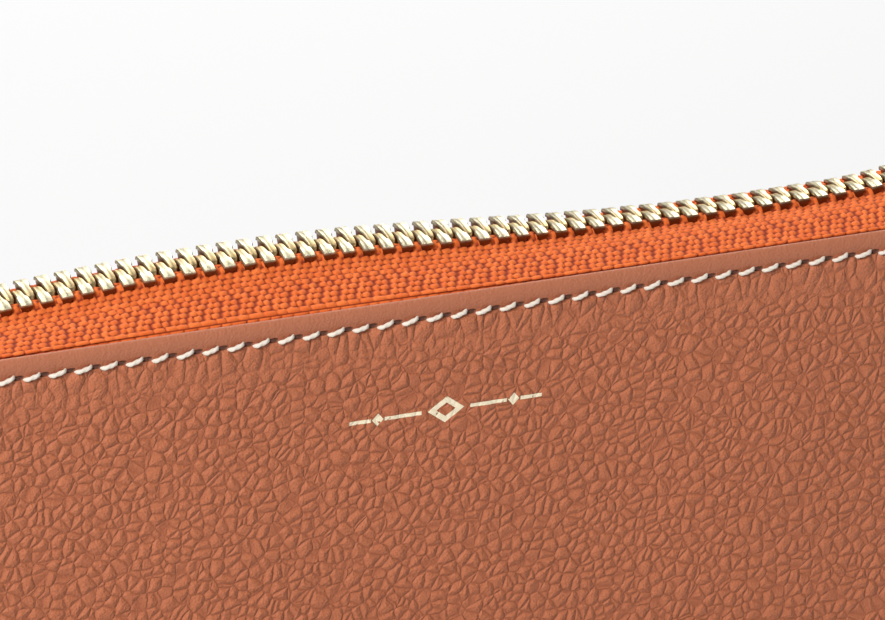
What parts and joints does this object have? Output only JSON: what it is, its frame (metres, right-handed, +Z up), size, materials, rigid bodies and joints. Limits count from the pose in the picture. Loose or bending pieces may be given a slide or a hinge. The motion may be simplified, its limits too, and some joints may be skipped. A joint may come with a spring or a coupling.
{
  "type": "zip around wallet",
  "caption": "Leather zip around wallet with a stitched cover, metal zip round three sides, card slots, bill compartments and a zipped coin pocket.",
  "frame": {"origin": "centre of the spine's flat underside, on which the closed wallet stands", "axes": "+X along the spine towards the main zip's slider, +Y towards the rear cover, +Z up to the zip's top run"},
  "size_m": [0.1977, 0.022, 0.1024],
  "materials": {
    "cover_leather": "pebbled tan leather, soft sheen",
    "lining_leather": "smooth thin tan leather",
    "lining_cloth": "fine twill lining",
    "zip_tape": "herringbone woven tape, orange brown",
    "zip_metal": "polished pale gold plating",
    "stiffener_board": "pressed fibre board"
  },
  "bodies": {
    "rear_cover": {"front_left_gusset": "lining_leather", "front_right_gusset": "lining_leather", "left_end_tab": "cover_leather", "open_end_stop": "zip_metal", "rear_board": "stiffener_board", "rear_card_backing": "lining_leather", "rear_card_slot_1": "lining_leather", "rear_card_slot_2": "lining_leather", "rear_card_slot_3": "lining_leather", "rear_card_slot_4": "lining_leather", "rear_cover_leather": "cover_leather", "rear_end_stop": "zip_metal", "rear_left_gusset": "lining_leather", "rear_lining": "lining_cloth", "rear_right_gusset": "lining_leather", "rear_zip_tape": "zip_tape", "rear_zip_teeth": "zip_metal", "right_end_tab": "cover_leather", "spine_leather": "cover_leather", "spine_lining": "lining_cloth"},
    "front_cover": {"front_board": "stiffener_board", "front_card_backing": "lining_leather", "front_card_slot_1": "lining_leather", "front_card_slot_2": "lining_leather", "front_card_slot_3": "lining_leather", "front_card_slot_4": "lining_leather", "front_cover_leather": "cover_leather", "front_end_stop": "zip_metal", "front_lining": "lining_cloth", "front_zip_tape": "zip_tape", "front_zip_teeth": "zip_metal"},
    "coin_divider": {"coin_front_tape": "zip_tape", "coin_front_teeth": "zip_metal", "coin_pocket_base": "lining_cloth", "coin_pocket_front_wall": "lining_leather", "coin_pocket_rear_wall": "lining_leather", "coin_rear_tape": "zip_tape", "coin_rear_teeth": "zip_metal"},
    "main_slider": {"main_slider": "zip_metal"},
    "main_pull": {"main_pull_loop": "zip_metal", "main_pull_leather": "cover_leather"},
    "coin_slider": {"coin_slider": "zip_metal"},
    "coin_pull": {"coin_pull": "zip_metal"}
  },
  "joints": [
    {"name": "cover_open", "type": "hinge", "parent": "rear_cover", "child": "front_cover", "pos_m": [0, -0.0098, 0.0012], "axis": [1, 0, 0], "range_deg": [0, 60], "deforming": ["front_left_gusset", "front_right_gusset", "rear_left_gusset", "rear_right_gusset", "spine_lining"]},
    {"name": "divider_swing", "type": "hinge", "parent": "rear_cover", "child": "coin_divider", "pos_m": [0, -0.0098, 0.0012], "axis": [1, 0, 0], "range_deg": [0, 30]},
    {"name": "main_slide", "type": "slide", "parent": "rear_cover", "child": "main_slider", "axis": [0, 0, 1], "range_m": [0, 0.031], "deforming": ["front_zip_teeth", "rear_zip_teeth", "front_zip_tape", "rear_zip_tape"]},
    {"name": "main_pull_swing", "type": "hinge", "parent": "main_slider", "child": "main_pull", "pos_m": [0.0991, 0, 0.0414], "axis": [0, -1, 0], "range_deg": [0, 160]},
    {"name": "coin_slide", "type": "slide", "parent": "coin_divider", "child": "coin_slider", "axis": [-1, 0, 0], "range_m": [0, 0.14], "deforming": ["coin_front_teeth", "coin_rear_teeth", "coin_front_tape", "coin_rear_tape"]},
    {"name": "coin_pull_swing", "type": "hinge", "parent": "coin_slider", "child": "coin_pull", "pos_m": [0.0692, 0, 0.084], "axis": [0, 1, 0], "range_deg": [0, 150]}
  ],
  "couplings": [
    {"joint": "divider_swing", "follows": "cover_open", "ratio": 0.5}
  ]
}
